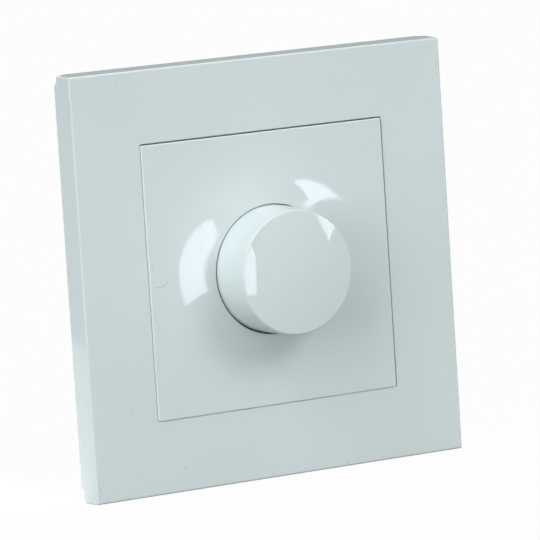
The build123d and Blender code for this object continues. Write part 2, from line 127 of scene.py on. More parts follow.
# How far the middle of a round edge lies inside its piece's side and behind its front,
# and how far from there the rubbed finish ends and is full
FRAME_EDGE = (0.35 * MM, 0.1 * MM)
PLATE_EDGE = (0.1 * MM, 0.1 * MM)
KNOB_EDGE = (0.5 * MM, 0.85 * MM)
EDGE_END, EDGE_FULL = 0.4 * MM, 0.2 * MM


# Properties that a user may change
def colour(name, description, default):
    return FloatVectorProperty(
        name=name, description=description, default=default, size=3, min=0, max=1, subtype="COLOR"
    )


def share(name, description, default):
    return FloatProperty(
        name=name, description=description, default=default, min=0, max=1, subtype="FACTOR"
    )


def length(name, description, millimetres):
    return FloatProperty(
        name=name, description=description, default=millimetres * MM, unit="LENGTH", precision=5
    )


def angle(name, description, in_degrees):
    return FloatProperty(
        name=name, description=description, default=radians(in_degrees), unit="ROTATION", subtype="ANGLE"
    )


def amount(name, description, default):
    return FloatProperty(name=name, description=description, default=default, min=0)


class CoverSettings(bpy.types.PropertyGroup):
    """The glossy plastic of the frame, the plate and the knob"""

    tint: colour("Tint", "Colour of the moulded plastic", (0.65, 0.75, 0.752))
    shade: colour("Shade", "Colour where the moulding flow is denser", (0.636, 0.736, 0.738))
    dirt: colour("Dirt", "Colour of dust, hairs and scratches", (0.36, 0.40, 0.40))
    polish: share("Roughness", "Roughness of the polished face", 0.02)
    smear: share("Smear", "How much the roughness varies", 0.035)
    dull: share("Dull", "Roughness that the plate gains towards the knob's well", 0.09)
    rub: share("Rub", "Roughness that the round edges gain", 0.25)
    speck: length("Speck", "Radius of a dust speck", 0.16)
    hair: length("Hair", "Half width of a hair or scratch", 0.09)


class RearSettings(bpy.types.PropertyGroup):
    """The housing and the support plate behind the cover"""

    housing: colour("Housing", "Colour of the housing's plastic", (0.10, 0.105, 0.11))
    housing_worn: colour("Housing, worn", "Colour of rubbed plastic", (0.16, 0.165, 0.17))
    plating: colour("Plating", "Colour of the zinc plating", (0.62, 0.63, 0.64))
    plating_warm: colour("Plating, warm", "Colour of its passivated patches", (0.60, 0.58, 0.52))


class ScrewSettings(bpy.types.PropertyGroup):
    """The slotted screws of the terminals and the housing"""

    slot_width: length("Slot width", "Width of the slot in a head", 0.8)
    slot_depth: length("Slot depth", "Depth of the slot in a head", 0.7)
    edge: length("Edge", "Chamfer round a head", 0.25)
    terminal_head: length("Terminal head", "Height of a terminal screw's head", 2.0)
    terminal_shank: length("Terminal shank", "Radius of a terminal screw's shank", 1.6)
    housing_head: length("Housing head", "Height of a housing screw's head", 1.0)
    housing_shank: length("Housing shank", "Radius of a housing screw's shank", 1.25)
    seed: IntProperty(name="Seed", description="Turns the slots another way", default=4)


class StageSettings(bpy.types.PropertyGroup):
    """The floor, the lamps and the camera"""

    floor: colour("Floor", "Colour of the floor in front", (0.28, 0.285, 0.275))
    # The floor behind the cover is painted darker, as shade
    painted_back_shade: colour("Floor behind", "Colour of the floor behind", (0.13, 0.13, 0.13))
    floor_card: colour("Floor card", "Colour of the card on the floor at the left", (0.86, 0.87, 0.87))
    floor_radius: length("Floor radius", "Radius of the floor up to its rim", 2600)
    floor_rim: length("Floor rim", "Height that the floor sweeps up to", 320)
    floor_white: share("Floor white", "Share of plain white in the floor as it is seen", 0.975)
    air: colour("Air", "Colour of the studio in front, above the floor's rim", (0.46, 0.46, 0.452))
    dusk: colour("Dusk", "Colour of the studio behind", (0.097, 0.097, 0.097))
    left: amount("Left", "Brightness of the low window on the left, where 1 is white", 4.2)
    middle: amount("Middle", "Brightness of the window above it", 2.14)
    high: amount("High", "Brightness of the high window on the left", 4.6)
    front: amount("Front", "Brightness of the window right of the front", 5.75)
    rear: amount("Rear", "Brightness of the lamp above and behind", 3.9)
    low: amount("Low", "Brightness of the low lamp behind on the right", 3.6)
    card: amount("Card", "Brightness of the low card on the right", 5.5)
    spot: amount("Spot", "Brightness of the small panes on the right", 6.6)
    mild: colour("Mild", "Colour of the two upper windows on the left", (1.0, 0.935, 0.985))
    cool: colour("Cool", "Colour of the low card and the panes", (0.93, 0.89, 1.0))
    distance: length("Distance", "From the camera to the cover", 979.7)
    turn: angle("Turn", "Turn of the camera to the left of the cover's front", -29.19)
    rise: angle("Rise", "Rise of the camera above the cover", 7.156)
    roll: angle("Roll", "Roll of the camera", -3.66)
    lens: FloatProperty(name="Lens", description="Focal length", default=326.9, unit="CAMERA")


class DimmerSettings(bpy.types.PropertyGroup):
    """All that can be set on the dimmer and its stage"""

    cover: PointerProperty(type=CoverSettings)
    rear: PointerProperty(type=RearSettings)
    screws: PointerProperty(type=ScrewSettings)
    stage: PointerProperty(type=StageSettings)


def settings():
    return bpy.context.scene.dimmer


# Sockets that go by number: the colours of a Mix node and the numbers of a Random Value node
MIX_FIRST, MIX_SECOND, MIX_RESULT = 6, 7, 2
RANDOM_LEAST, RANDOM_MOST, RANDOM_RESULT = 2, 3, 1


# Node expressions
class Wire:
    """A node's output in an expression, where each operator adds a Math node.

    With no socket it only stands for a tree, to make the first nodes of an expression.
    """

    def __init__(self, tree, socket=None):
        self.tree = tree
        self.socket = socket

    def make(self, kind, setup=None, inputs=None, output=0):
        """Adds a node of any kind: its settings first, then the values or links of its sockets.

        A list holds the links of a socket that takes several.
        """
        node = self.tree.nodes.new(kind)
        for name, value in (setup or {}).items():
            setattr(node, name, value)
        for name, value in (inputs or {}).items():
            if isinstance(value, (Wire, list)):
                for wire in value if isinstance(value, list) else [value]:
                    self.tree.links.new(wire.socket, node.inputs[name])
            else:
                node.inputs[name].default_value = value
        return Wire(self.tree, node.outputs[output] if node.outputs else None)

    def maths(self, operation, first, second):
        return self.make("ShaderNodeMath", {"operation": operation}, {0: first, 1: second})

    def vector(self, operation, inputs, output="Vector"):
        return self.make("ShaderNodeVectorMath", {"operation": operation}, inputs, output)

    def __add__(self, other):
        return self.maths("ADD", self, other)

    def __radd__(self, other):
        return self.maths("ADD", other, self)

    def __sub__(self, other):
        return self.maths("SUBTRACT", self, other)

    def __rsub__(self, other):
        return self.maths("SUBTRACT", other, self)

    def __mul__(self, other):
        return self.maths("MULTIPLY", self, other)

    def __rmul__(self, other):
        return self.maths("MULTIPLY", other, self)

    def __abs__(self):
        return self.make("ShaderNodeMath", {"operation": "ABSOLUTE"}, {0: self})

    def part(self, side):
        """One of X, Y and Z of a vector."""
        return self.make("ShaderNodeSeparateXYZ", None, {0: self}, side)

    def along(self, way):
        """How far a place lies along a direction."""
        return self.vector("DOT_PRODUCT", {0: self, 1: way}, "Value")

    def ramp(self, start, end):
        """0 at start and 1 at end, smooth between."""
        inputs = {"Value": self, "From Min": start, "From Max": end}
        return self.make("ShaderNodeMapRange", {"interpolation_type": "SMOOTHSTEP"}, inputs)

    def noise(self, size, detail=2.0, stretch=(1, 1, 1)):
        """Noise from 0 to 1 whose lumps are about this size, drawn out where stretch is small."""
        place = self.vector("MULTIPLY", {0: self, 1: stretch})
        return self.make("ShaderNodeTexNoise", None, {"Vector": place, "Scale": 1 / size, "Detail": detail})

    def mix(self, first, second):
        """The first colour where this is 0 and the second where it is 1."""
        first, second = (x if isinstance(x, Wire) else (*x, 1) for x in (first, second))
        inputs = {0: self, MIX_FIRST: first, MIX_SECOND: second}
        return self.make("ShaderNodeMix", {"data_type": "RGBA"}, inputs, MIX_RESULT)


def new_material(name):
    """A node material with its shader and its Object coordinates."""
    material = bpy.data.materials.new(name)
    material.use_nodes = True
    tree = material.node_tree
    place = Wire(tree).make("ShaderNodeTexCoord", output="Object")
    return material, tree.nodes["Principled BSDF"], place


def feed(shader, **sockets):
    """Links wires and sets plain values on a shader's sockets, with _ for a space in a name."""
    for name, value in sockets.items():
        socket = shader.inputs[name.replace("_", " ")]
        if isinstance(value, Wire):
            value.tree.links.new(value.socket, socket)
        else:
            socket.default_value = value


def relief(height, depth, strength=1.0):
    """A bump from this height map."""
    return height.make("ShaderNodeBump", None, {"Strength": strength, "Distance": depth, "Height": height})


# Finishes of the cover
def front_point(spot, front):
    """A place on the front, from its (x, z) in millimetres and the depth of the front."""
    return Vector((spot[0] * MM, front, spot[1] * MM))


def speck_mask(place, spot, radius, fade=(1.4, 0.3)):
    """1 on a small round speck, fading to 0 between these shares of its radius."""
    away = place.vector("DISTANCE", {0: place, 1: spot}, "Value")
    return away.ramp(radius * fade[0], radius * fade[1])


def stroke_mask(place, start, end, radius, fade=(1.5, 0.4)):
    """1 along a fine straight stroke between two places, fading to 0 as a speck does."""
    run = end - start
    rest = place.vector("SUBTRACT", {0: place, 1: start})
    share_of_run = rest.along(run / run.length_squared)
    share_of_run = share_of_run.make("ShaderNodeClamp", None, {"Value": share_of_run})
    nearest = share_of_run.vector("SCALE", {0: run, "Scale": share_of_run})
    away = rest.vector("DISTANCE", {0: rest, 1: nearest}, "Value")
    return away.ramp(radius * fade[0], radius * fade[1])


def dust_mask(place, cell, radius, fade=(1.5, 0.5), thinned=(0.52, 0.6)):
    """1 on fine dust that lies about one cell apart, thinned out in patches of a few cells."""
    dots = place.make("ShaderNodeTexVoronoi", None, {"Vector": place, "Scale": 1 / cell})
    near = dots.ramp(radius / cell * fade[0], radius / cell * fade[1])
    return near * place.noise(3 * cell).ramp(*thinned)


def across_axis(place):
    """The place as seen along the knob's axis."""
    return place.vector("MULTIPLY", {0: place, 1: (1, 0, 1)})


def axis_distance(place):
    """The distance from the knob's axis."""
    flat = across_axis(place)
    return flat.vector("LENGTH", {0: flat}, "Value")


def square_distance(place):
    """The half side of the square about the knob's axis that the place lies on."""
    x, z = place.part("X"), place.part("Z")
    return x.maths("MAXIMUM", abs(x), abs(z))


def edge_mask(place, reach, radius, depth):
    """1 on a round edge at this reach from the knob's axis and this depth, fading to 0."""
    spot = place.make("ShaderNodeCombineXYZ", None, {0: reach(place), 1: place.part("Y")})
    away = spot.vector("DISTANCE", {0: spot, 1: (radius, depth, 0)}, "Value")
    return away.ramp(EDGE_END, EDGE_FULL)


def polishing_rings(place, size, breaks=2.0):
    """Fine rings about the knob's axis, which change more often round the turn with more breaks."""
    flat = across_axis(place)
    way = flat.vector("NORMALIZE", {0: flat})
    reach = axis_distance(place) * (1 / size)
    line = reach.make("ShaderNodeCombineXYZ", None, {1: reach})
    spot = line.vector("MULTIPLY_ADD", {0: way, 1: (breaks, breaks, breaks), 2: line})
    return spot.noise(1.0)


def cover_plastic(name, edge, front=0.0, strokes=(), specks=(), ringed=False):
    """Glossy moulded plastic with faint flow tones, dust, marks on its front and a rubbed edge.

    The strokes come with the share of dirt that they show. A ringed piece has polishing rings
    about the knob's axis and grows dull towards the knob's well.
    """
    look = settings().cover
    material, shader, place = new_material(name)
    flow = place.noise(FLOW_SIZE, detail=1.0).ramp(*TONE_RANGE)
    marks = DUST_DIRT * dust_mask(place, DUST_GAP, DUST_RADIUS)
    for stroke, dirt in strokes:
        for start, end in pairs([front_point(spot, front) for spot in stroke]):
            marks = marks + dirt * stroke_mask(place, start, end, look.hair)
    for spot in specks:
        marks = marks + SPECK_DIRT * speck_mask(place, front_point(spot, front), look.speck)
    smears = place.noise(SMEAR_SIZE, detail=3.0).ramp(*SMEAR_RANGE)
    rough = look.polish + look.smear * smears + DIRT_ROUGHNESS * marks
    if ringed:
        rough = rough + look.dull * axis_distance(place).ramp(DULL_FROM, DULL_TO)
        feed(shader, Normal=relief(polishing_rings(place, RING_SIZE), RING_DEPTH))
    rough = rough + look.rub * edge_mask(place, *edge)
    clean = flow.mix(look.tint, look.shade)
    feed(shader, Base_Color=marks.mix(clean, look.dirt), Roughness=rough, IOR=PLASTIC_IOR)
    return material


def pairs(points):
    """Each point with the next one."""
    return list(zip(points, points[1:]))


# Finishes of the pieces behind the cover
class Finish(NamedTuple):
    """Two tones in grains, and the least and most roughness; grain and relief depth in millimetres."""

    tones: tuple
    grain: float
    rough: tuple
    metal: float = 0.0
    depth: float = 0.008
    stretch: tuple = (1, 1, 1)


FINISHES = {
    "bright_steel": Finish(((0.58, 0.58, 0.58), (0.68, 0.68, 0.67)), 0.6, (0.2, 0.36), 1.0),
    "spring_steel": Finish(((0.30, 0.31, 0.33), (0.42, 0.43, 0.45)), 0.5, (0.24, 0.4), 1.0),
    "brass": Finish(((0.72, 0.50, 0.22), (0.82, 0.62, 0.32)), 0.7, (0.22, 0.42), 1.0),
    "copper_wire": Finish(((0.62, 0.22, 0.10), (0.76, 0.32, 0.16)), 0.6, (0.2, 0.34), 1.0),
    "contact_bronze": Finish(((0.70, 0.46, 0.30), (0.80, 0.58, 0.40)), 0.6, (0.22, 0.38), 1.0),
    "phenolic": Finish(((0.16, 0.07, 0.03), (0.26, 0.12, 0.05)), 0.8, (0.38, 0.55)),
    "switch_plastic": Finish(((0.045, 0.045, 0.05), (0.08, 0.08, 0.085)), 1.2, (0.32, 0.46)),
    "slider_plastic": Finish(((0.66, 0.64, 0.58), (0.73, 0.71, 0.65)), 1.0, (0.3, 0.44)),
    "board_laminate": Finish(((0.045, 0.16, 0.07), (0.075, 0.23, 0.11)), 0.5, (0.36, 0.56)),
    "ferrite": Finish(((0.045, 0.045, 0.05), (0.09, 0.09, 0.095)), 0.4, (0.4, 0.62)),
    "capacitor_case": Finish(((0.50, 0.36, 0.05), (0.60, 0.45, 0.09)), 1.0, (0.26, 0.4)),
    "resistor_body": Finish(((0.52, 0.40, 0.24), (0.64, 0.52, 0.34)), 0.5, (0.3, 0.45)),
    "triac_body": Finish(((0.025, 0.025, 0.027), (0.05, 0.05, 0.052)), 0.4, (0.4, 0.6)),
    "pad_sheet": Finish(((0.55, 0.57, 0.60), (0.66, 0.68, 0.70)), 0.8, (0.42, 0.6)),
}
GRAIN_SHARE = 0.45
GRAINS_IN_PATCH = 14
RELIEF_STRENGTH = 0.6


def grained(name, look, **constants):
    """A finish whose two tones and roughness follow its grain and patches of many grains."""
    material, shader, place = new_material(name)
    grain = place.noise(look.grain * MM, detail=4.0, stretch=look.stretch)
    patch = place.noise(GRAINS_IN_PATCH * look.grain * MM, stretch=look.stretch)
    tone = (GRAIN_SHARE * grain + (1 - GRAIN_SHARE) * patch).ramp(*TONE_RANGE)
    least, most = look.rough
    feed(shader, Base_Color=tone.mix(*look.tones), Metallic=look.metal, **constants)
    feed(shader, Roughness=least + (most - least) * tone)
    if look.depth:
        feed(shader, Normal=relief(grain, look.depth * MM, RELIEF_STRENGTH))
    return material


def finish(name):
    """The finish of this name, made once."""
    return bpy.data.materials.get(name) or grained(name, FINISHES[name])


def housing_plastic():
    """Matt glass-filled plastic with the fine texture of its mould."""
    look = settings().rear
    tones = (look.housing, look.housing_worn)
    return grained("housing_plastic", Finish(tones, grain=0.5, rough=(0.42, 0.62), depth=0.05))


def plated_sheet():
    """Zinc plating over rolled sheet: a fine grain along the sheet and warm patches."""
    look = settings().rear
    tones = (look.plating, look.plating_warm)
    sheet = Finish(tones, 0.9, (0.26, 0.44), metal=1.0, depth=0.01, stretch=(0.12, 1, 1))
    return grained("plated_sheet", sheet)


def fuse_glass():
    """Clear tube glass with a faint green in its thicker streaks."""
    tones = ((0.93, 0.97, 0.95), (0.98, 0.99, 0.98))
    glass = Finish(tones, 1.5, (0.02, 0.06), depth=0.0, stretch=(1, 1, 0.1))
    return grained("fuse_glass", glass, Transmission_Weight=1.0, IOR=1.5)


def dress(material, *nodes):
    """Puts a material on the slots of carried-over nodes."""
    for node in nodes:
        for slot in frame["nodes"][node].material_slots:
            slot.material = material


# Slotted screws
SCREW_SIZES = (
    "Head Radius",
    "Head Height",
    "Edge",
    "Shank Radius",
    "Shank Length",
    "Slot Width",
    "Slot Depth",
)
SCREW_SIDES = 48


def screw_tree(material):
    """A tree that sets a slotted screw on each point, with its head towards +Z of the point."""
    tree = bpy.data.node_groups.new("slotted_screws", "GeometryNodeTree")
    sockets = tree.interface
    sockets.new_socket("Places", in_out="INPUT", socket_type="NodeSocketGeometry")
    for name in SCREW_SIZES:
        sockets.new_socket(name, in_out="INPUT", socket_type="NodeSocketFloat")
    sockets.new_socket("Turn", in_out="INPUT", socket_type="NodeSocketRotation")
    sockets.new_socket("Seed", in_out="INPUT", socket_type="NodeSocketInt")
    sockets.new_socket("Screws", in_out="OUTPUT", socket_type="NodeSocketGeometry")
    place, seed, turn, *sizes = (
        Wire(tree).make("NodeGroupInput", output=name) for name in ("Places", "Seed", "Turn", *SCREW_SIZES)
    )
    screw = slotted_screw(*sizes)
    turns = {RANDOM_LEAST: 0.0, RANDOM_MOST: pi, "Seed": seed}
    spin = seed.make("FunctionNodeRandomValue", {"data_type": "FLOAT"}, turns, RANDOM_RESULT)
    about = spin.make("FunctionNodeAxisAngleToRotation", None, {"Axis": (0, 0, 1), "Angle": spin})
    facing = about.make("FunctionNodeRotateRotation", {"rotation_space": "LOCAL"}, {0: turn, 1: about})
    points = place.make("GeometryNodeMeshToPoints", None, {"Mesh": place})
    set_on = {"Points": points, "Instance": screw, "Rotation": facing}
    screws = points.make("GeometryNodeInstanceOnPoints", None, set_on)
    real = screws.make("GeometryNodeRealizeInstances", None, {"Geometry": screws})
    done = real.make("GeometryNodeSetMaterial", None, {"Geometry": real, "Material": material})
    done.make("NodeGroupOutput", None, {"Screws": done})
    return tree


def slotted_screw(head_radius, head_height, edge, shank_radius, shank_length, slot_width, slot_depth):
    """A chamfered head on a shank, cut by a slot; its seat is at the origin."""
    head = bar(head_radius, head_radius, head_height - edge, 0.0)
    rim = bar(head_radius, head_radius - edge, edge, head_height - edge)
    shank = bar(shank_radius, shank_radius, shank_length, 0 - shank_length)
    solid = union(union(head, rim), shank)
    sides = {0: 3 * head_radius, 1: slot_width, 2: 2 * slot_depth}
    size = head_radius.make("ShaderNodeCombineXYZ", None, sides)
    cutter = size.make("GeometryNodeMeshCube", None, {"Size": size})
    return less(solid, raised(cutter, head_height))


def bar(low_radius, high_radius, height, base):
    """A round bar or taper that stands on this base."""
    inputs = {
        "Vertices": SCREW_SIDES,
        "Radius Top": high_radius,
        "Radius Bottom": low_radius,
        "Depth": height,
    }
    return raised(low_radius.make("GeometryNodeMeshCone", None, inputs), base)


def raised(shape, height):
    """A shape that is moved up by this height."""
    move = shape.make("ShaderNodeCombineXYZ", None, {2: height})
    return shape.make("GeometryNodeTransform", None, {"Geometry": shape, "Translation": move})


def union(first, second):
    """Two solids as one."""
    return first.make("GeometryNodeMeshBoolean", {"operation": "UNION"}, {"Mesh 2": [first, second]})


def less(solid, cutter):
    """A solid without what the cutter takes away."""
    inputs = {"Mesh 1": solid, "Mesh 2": cutter}
    return solid.make("GeometryNodeMeshBoolean", {"operation": "DIFFERENCE"}, inputs)


def set_of_screws(name, node, tree, places, turn, sizes):
    """One plain mesh with a screw at each place, which stands for a node."""
    mesh = bpy.data.meshes.new(name)
    mesh.from_pydata(places, [], [])
    piece = bpy.data.objects.new(name, mesh)
    bpy.context.scene.collection.objects.link(piece)
    grow = piece.modifiers.new("screws", "NODES")
    grow.node_group = tree
    inputs = dict(zip(SCREW_SIZES, sizes), Turn=turn, Seed=settings().screws.seed)
    for socket in tree.interface.items_tree:
        if socket.name in inputs:
            grow[socket.identifier] = inputs[socket.name]
    graph = bpy.context.evaluated_depsgraph_get()
    piece.data = bpy.data.meshes.new_from_object(piece.evaluated_get(graph))
    piece.modifiers.clear()
    if not piece.data.polygons:
        raise RuntimeError(f"{name} came out empty")
    piece.data.shade_flat()
    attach(piece, frame["nodes"][node]["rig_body"])
    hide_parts(node)


# Pieces
class CoverFrame(bpy.types.Operator):
    """Finish the square frame in glossy plastic with its scratch, smudge and specks"""

    bl_idname = "dimmer.cover_frame"
    bl_label = "Cover frame"

    def execute(self, context):
        low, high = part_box("cover_frame")
        across, behind = FRAME_EDGE
        edge = (square_distance, high.x - across, low.y + behind)
        strokes = ((FRAME_SCRATCH, SCRATCH_DIRT), (FRAME_SMUDGE, SMUDGE_DIRT))
        dress(cover_plastic("frame_plastic", edge, low.y, strokes, FRAME_SPECKS), "cover_frame")
        return {"FINISHED"}


class CentrePlate(bpy.types.Operator):
    """Finish the centre plate in glossy plastic with the hair and dust on it"""

    bl_idname = "dimmer.centre_plate"
    bl_label = "Centre plate"

    def execute(self, context):
        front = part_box("cover_frame")[0].y - PLATE_PROUD
        across, behind = PLATE_EDGE
        edge = (square_distance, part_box("centre_plate")[1].x - across, front + behind)
        strokes = ((PLATE_HAIR, HAIR_DIRT),)
        plastic = cover_plastic("plate_plastic", edge, front, strokes, PLATE_SPECKS, ringed=True)
        dress(plastic, "centre_plate")
        return {"FINISHED"}


class Knob(bpy.types.Operator):
    """Finish the knob in glossy plastic, and the clip and shaft that it sits on"""

    bl_idname = "dimmer.knob"
    bl_label = "Knob"

    def execute(self, context):
        low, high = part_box("knob")
        across, behind = KNOB_EDGE
        edge = (axis_distance, high.x - across, low.y + behind)
        dress(cover_plastic("knob_plastic", edge), "knob")
        dress(finish("spring_steel"), "knob_clip")
        dress(finish("bright_steel"), "control_shaft", "fixing_nut", "nut_washer")
        return {"FINISHED"}


class Support(bpy.types.Operator):
    """Finish the support plate in zinc plating and its bush in brass"""

    bl_idname = "dimmer.support"
    bl_label = "Support plate"

    def execute(self, context):
        dress(plated_sheet(), "support_plate")
        dress(finish("brass"), "threaded_bush")
        return {"FINISHED"}


class Housing(bpy.types.Operator):
    """Finish the housing in matt plastic"""

    bl_idname = "dimmer.housing"
    bl_label = "Housing"

    def execute(self, context):
        dress(housing_plastic(), "housing")
        return {"FINISHED"}


class Screws(bpy.types.Operator):
    """Set slotted screws in the terminals and the housing"""

    bl_idname = "dimmer.screws"
    bl_label = "Screws"

    def execute(self, context):
        look = settings().screws
        tree = screw_tree(finish("bright_steel"))
        backward = Quaternion((1, 0, 0), -pi / 2).to_euler()
        forward = Quaternion((1, 0, 0), pi / 2).to_euler()
        slot = (look.slot_width, look.slot_depth)
        low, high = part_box("terminal_screws")
        radius, middle = (high.z - low.z) / 2, (high.z + low.z) / 2
        seat = high.y - look.terminal_head
        places = [(x, seat, middle) for x in (low.x + radius, (low.x + high.x) / 2, high.x - radius)]
        sizes = (radius, look.terminal_head, look.edge, look.terminal_shank, seat - low.y, *slot)
        set_of_screws("terminal_screw_set", "terminal_screws", tree, places, backward, sizes)
        low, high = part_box("housing_screws")
        radius = housing_screw_radius()
        seat = low.y + look.housing_head
        places = [(high.x - radius, seat, high.z - radius), (low.x + radius, seat, low.z + radius)]
        sizes = (radius, look.housing_head, look.edge, look.housing_shank, high.y - seat, *slot)
        set_of_screws("housing_screw_set", "housing_screws", tree, places, forward, sizes)
        return {"FINISHED"}


def housing_screw_radius():
    """Head radius of the housing screws, which stand corner to corner."""
    points = [v.co for v in frame["nodes"]["housing_screws"].data.vertices if v.co.x > 0]
    return (max(p.x for p in points) - min(p.x for p in points)) / 2


class Potentiometer(bpy.types.Operator):
    """Finish the potentiometer behind the bush"""

    bl_idname = "dimmer.potentiometer"
    bl_label = "Potentiometer"

    def execute(self, context):
        dress(finish("phenolic"), "potentiometer_case", "resistance_wafer")
        dress(finish("slider_plastic"), "potentiometer_rotor")
        dress(finish("contact_bronze"), "wiper")
        return {"FINISHED"}


class PushSwitch(bpy.types.Operator):
    """Finish the push switch, and put a steel copy of the return spring on the insert in its place"""

    bl_idname = "dimmer.push_switch"
    bl_label = "Push switch"

    def execute(self, context):
        dress(finish("switch_plastic"), "switch_case", "switch_base")
        dress(finish("slider_plastic"), "switch_plunger")
        dress(finish("contact_bronze"), "contact_bridge", "fixed_contacts")
        coil = bpy.data.objects.new("return_coil", frame["nodes"]["return_spring"].data.copy())
        bpy.context.scene.collection.objects.link(coil)
        coil.material_slots[0].material = finish("spring_steel")
        low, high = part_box("return_spring")
        travel = next(j for j in frame["joints"] if j["name"] == "switch_push")["range_m"][1]
        keep = 1 - travel / (high.y - low.y)
        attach(coil, "insert")
        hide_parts("return_spring")
        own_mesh(coil)
        return {"FINISHED"}


class Circuit(bpy.types.Operator):
    """Finish the circuit board and what it carries"""

    bl_idname = "dimmer.circuit"
    bl_label = "Circuit"

    def execute(self, context):
        dress(finish("board_laminate"), "circuit_board")
        dress(finish("ferrite"), "choke_core")
        dress(finish("copper_wire"), "choke_winding")
        dress(finish("capacitor_case"), "suppression_capacitor", "timing_capacitor")
        dress(finish("resistor_body"), "resistors")
        dress(finish("triac_body"), "triac")
        dress(finish("pad_sheet"), "triac_pad")
        dress(finish("bright_steel"), "triac_rivet", "fuse_caps")
        dress(finish("contact_bronze"), "fuse_clips")
        dress(fuse_glass(), "fuse_tube")
        dress(finish("brass"), "terminal_blocks")
        return {"FINISHED"}


# Stage
class Stage(bpy.types.Operator):
    """Make the floor, the studio air, the lamps and the camera"""

    bl_idname = "dimmer.stage"
    bl_label = "Stage"

    def execute(self, context):
        context.scene.view_settings.view_transform = "Standard"
        make_floor()
        make_air()
        make_lamps()
        make_camera()
        return {"FINISHED"}


# The floor's mesh: radii of its flat rings in metres, its sides and the steps of its rim
FLOOR_RINGS = (0.25, 1.0)
FLOOR_SIDES = 96
BEND_STEPS = 12


def make_floor():
    """A round floor at the frame's lower edge, swept up at its rim."""
    look = settings().stage
    bend = look.floor_rim
    profile = [(radius, 0.0) for radius in FLOOR_RINGS]
    for step in range(BEND_STEPS + 1):
        turn = step * pi / 2 / BEND_STEPS
        profile.append((look.floor_radius + bend * sin(turn), bend * (1 - cos(turn))))
    level = cad_box[0].z
    points = [(0, 0, level)]
    for radius, height in profile:
        turns = (tau * i / FLOOR_SIDES for i in range(FLOOR_SIDES))
        points += [(radius * cos(t), radius * sin(t), level + height) for t in turns]
    faces = [(0, 1 + i, 1 + (i + 1) % FLOOR_SIDES) for i in range(FLOOR_SIDES)]
    for row in range(len(profile) - 1):
        first = 1 + row * FLOOR_SIDES
        for i in range(FLOOR_SIDES):
            a, b = first + i, first + (i + 1) % FLOOR_SIDES
            faces.append((a, a + FLOOR_SIDES, b + FLOOR_SIDES, b))
    mesh = bpy.data.meshes.new("floor")
    mesh.from_pydata(points, [], faces)
    mesh.shade_smooth()
    mesh.materials.append(floor_material())
    floor = bpy.data.objects.new("floor", mesh)
    bpy.context.scene.collection.objects.link(floor)


# Patches of the floor, in millimetres: the middle, the half sides and the soft edge.
# The foot is a painted contact shadow, seen only in the gloss; it lies under the cover and is placed from
# the frame's front.
CARD_PATCH = ((-64, 60), (22, 60), 6)
CONTACT_SHADOW_PATCH = ((0, 3.25), (42, 5), 0.6)

# Where the floor turns from its front colour to its rear one, which is painted darker as shade, and how far
# out to the left the gloss still shows it as white, a painted pool of light
BACK_START, BACK_END = -20 * MM, 60 * MM
LEFT_WAY = (-0.93, -0.367, 0)
PAINTED_POOL_END, PAINTED_POOL_FULL = 84 * MM, 78 * MM


def patch_mask(place, middle, half, soft):
    """1 on a rectangle of the floor, fading to 0 over its soft edge; all in millimetres."""
    away = place.vector("SUBTRACT", {0: place, 1: (middle[0] * MM, middle[1] * MM, 0)})
    across, deep = (abs(away.part(side)) - size * MM for side, size in zip("XY", half))
    return across.maths("MAXIMUM", across, deep).ramp(soft * MM, 0.0)


def floor_material():
    """Matt paper that is seen as nearly plain white, with the shadow kept, and painted darker behind the
    cover as shade.

    A white card lies on it at the left. The gloss shows it as white where it is near and on the right, a
    painted reflection of a pool of light, but not in the narrow foot under the cover, which is a painted
    contact shadow.
    """
    look = settings().stage
    material, shader, place = new_material("floor_paper")
    tree = place.tree
    tree.nodes.remove(shader)
    # Painted shade: the floor turns darker behind the cover
    behind = place.along((0, 1, 0)).ramp(BACK_START, BACK_END)
    card = patch_mask(place, *CARD_PATCH)
    paper = card.mix(behind.mix(look.floor, look.painted_back_shade), look.floor_card)
    matt = place.make("ShaderNodeBsdfDiffuse", None, {"Color": paper})
    white = place.make("ShaderNodeEmission", None, {"Color": (1, 1, 1, 1), "Strength": 1.0})
    # The foot: a painted contact shadow in the gloss, under the cover's front
    (x, y), half, soft = CONTACT_SHADOW_PATCH
    foot = patch_mask(place, (x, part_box("cover_frame")[0].y / MM + y), half, soft)
    # Painted pool of light: the gloss sees white paper near the cover and on the right, with the foot cut
    # out of it
    painted_light_pool = place.along(LEFT_WAY).ramp(PAINTED_POOL_END, PAINTED_POOL_FULL) * (1 - foot)
    camera, glossy, through = (
        place.make("ShaderNodeLightPath", output=f"Is {kind} Ray")
        for kind in ("Camera", "Glossy", "Transmission")
    )
    seen = look.floor_white * (camera + through + painted_light_pool * glossy)
    both = matt.make("ShaderNodeMixShader", None, {0: seen, 1: matt, 2: white})
    feed(tree.nodes["Material Output"], Surface=both)
    return material


# Half the width of the blend between the studio's front and back
AIR_BLEND = 0.2


def make_air():
    """A soft light from the room above the floor's rim, lighter in front than behind."""
    look = settings().stage
    world = bpy.data.worlds.new("studio_air")
    world.use_nodes = True
    tree = world.node_tree
    way = Wire(tree).make("ShaderNodeTexCoord", output="Generated")
    behind = way.along((0, 1, 0)).ramp(-AIR_BLEND, AIR_BLEND)
    feed(tree.nodes["Background"], Color=behind.mix(look.air, look.dusk))
    bpy.context.scene.world = world


def direction(turn, rise):
    """The direction from the cover that is turned right of its front and raised, in degrees."""
    turn, rise = radians(turn), radians(rise)
    return Vector((sin(turn) * cos(rise), -cos(turn) * cos(rise), sin(rise)))


